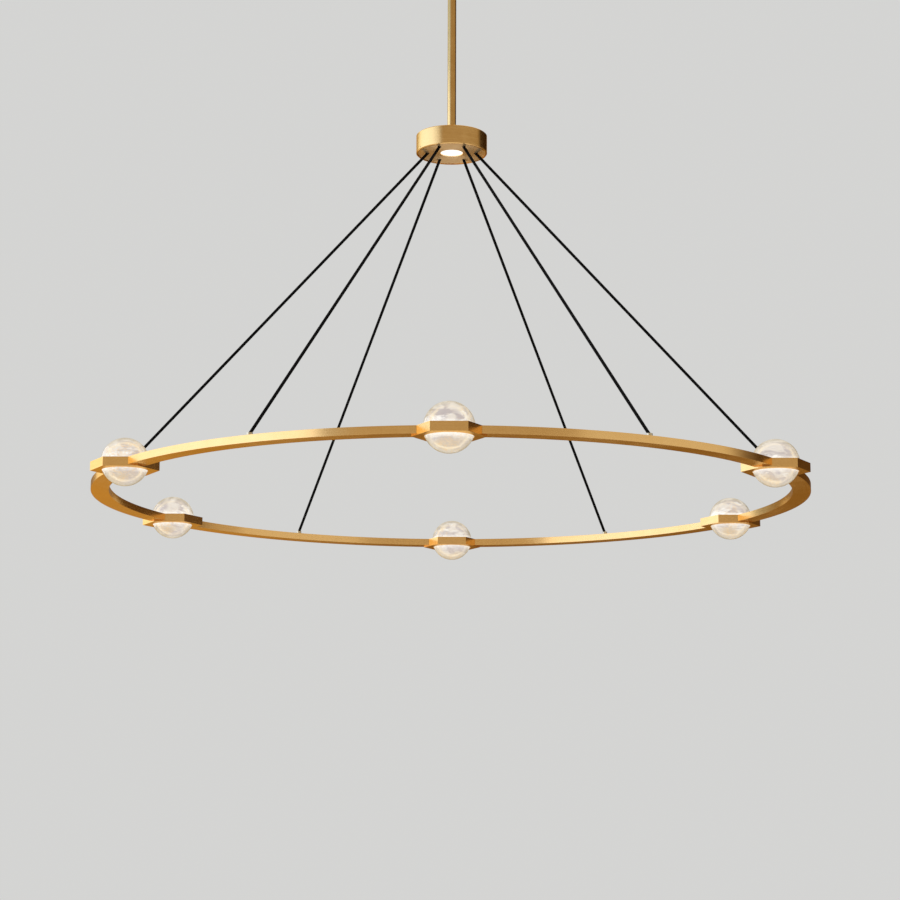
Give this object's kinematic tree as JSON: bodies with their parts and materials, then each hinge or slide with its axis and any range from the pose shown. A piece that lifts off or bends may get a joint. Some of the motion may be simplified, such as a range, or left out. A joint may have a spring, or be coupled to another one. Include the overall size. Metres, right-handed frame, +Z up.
{
  "type": "ring chandelier",
  "caption": "Hanging brass ring light: crystal orbs in hexagonal collars along a ring of bars, hung on black cables from a lit drum and a rod that swings below its ceiling canopy.",
  "frame": {"origin": "centre of the crossbar's top face, in the plane of the ceiling, on the fitting's vertical axis", "axes": "+Z up into the ceiling, +X along the crossbar, the fitting hangs towards -Z"},
  "size_m": [1.524, 1.6052, 1.5385],
  "materials": {
    "brass": "finely brushed, lacquered",
    "nickel": "satin nickel",
    "steel": "zinc plated",
    "ground_green": "green passivated",
    "foam_pad": "closed-cell foam",
    "driver_plastic": "moulded, fine texture",
    "diffuser": "opal, lit warm white",
    "led_board": "white solder mask with yellow emitters",
    "aluminium": "die cast",
    "terminal_plastic": "moulded",
    "wire_sleeve": "plain sleeve",
    "cable_sleeve": "black braided sleeve",
    "silicone": "translucent",
    "crystal": "clouded solid crystal, lit from its collar"
  },
  "bodies": {
    "canopy_body": {"crossbar": "steel", "ground_screw": "ground_green", "ceiling_nipple": "steel", "nipple_nuts": "steel", "canopy": "brass", "canopy_nut": "brass", "driver_pad": "foam_pad", "led_driver": "driver_plastic"},
    "swivel_body": {"swivel_yoke": "brass", "pivot_screws": "steel"},
    "chandelier_body": {"swivel_tongue": "brass", "upper_rod": "brass", "rod_coupler": "steel", "lower_rod": "brass", "stem_lead": "wire_sleeve", "hub_nipple": "steel", "hub_nut": "steel", "hub_housing": "brass", "hub_plate": "brass", "hub_screws": "steel", "downlight_diffuser": "diffuser", "downlight_board": "led_board", "downlight_heatsink": "aluminium", "downlight_screws": "steel", "terminal_block": "terminal_plastic", "cable_1": "cable_sleeve", "cable_2": "cable_sleeve", "cable_3": "cable_sleeve", "cable_4": "cable_sleeve", "cable_5": "cable_sleeve", "cable_6": "cable_sleeve", "cable_stops": "steel", "ring_anchors": "nickel", "anchor_nuts": "steel", "ring_bar_1": "brass", "ring_bar_2": "brass", "ring_bar_3": "brass", "ring_bar_4": "brass", "ring_bar_5": "brass", "ring_bar_6": "brass", "bar_screws": "steel", "supply_tapes": "wire_sleeve", "collar_1": "brass", "collar_2": "brass", "collar_3": "brass", "collar_4": "brass", "collar_5": "brass", "collar_6": "brass", "orb_gaskets": "silicone", "light_rings": "led_board", "retaining_rings": "brass", "glass_orbs": "crystal"}
  },
  "joints": [
    {"name": "stem_turn", "type": "hinge", "parent": "canopy_body", "child": "swivel_body", "pos_m": [0, 0, -0.05], "axis": [0, 0, 1], "range_deg": [-170, 170]},
    {"name": "stem_swing", "type": "hinge", "parent": "swivel_body", "child": "chandelier_body", "pos_m": [0, 0, -0.0662], "axis": [1, 0, 0], "range_deg": [-45, 45]}
  ]
}
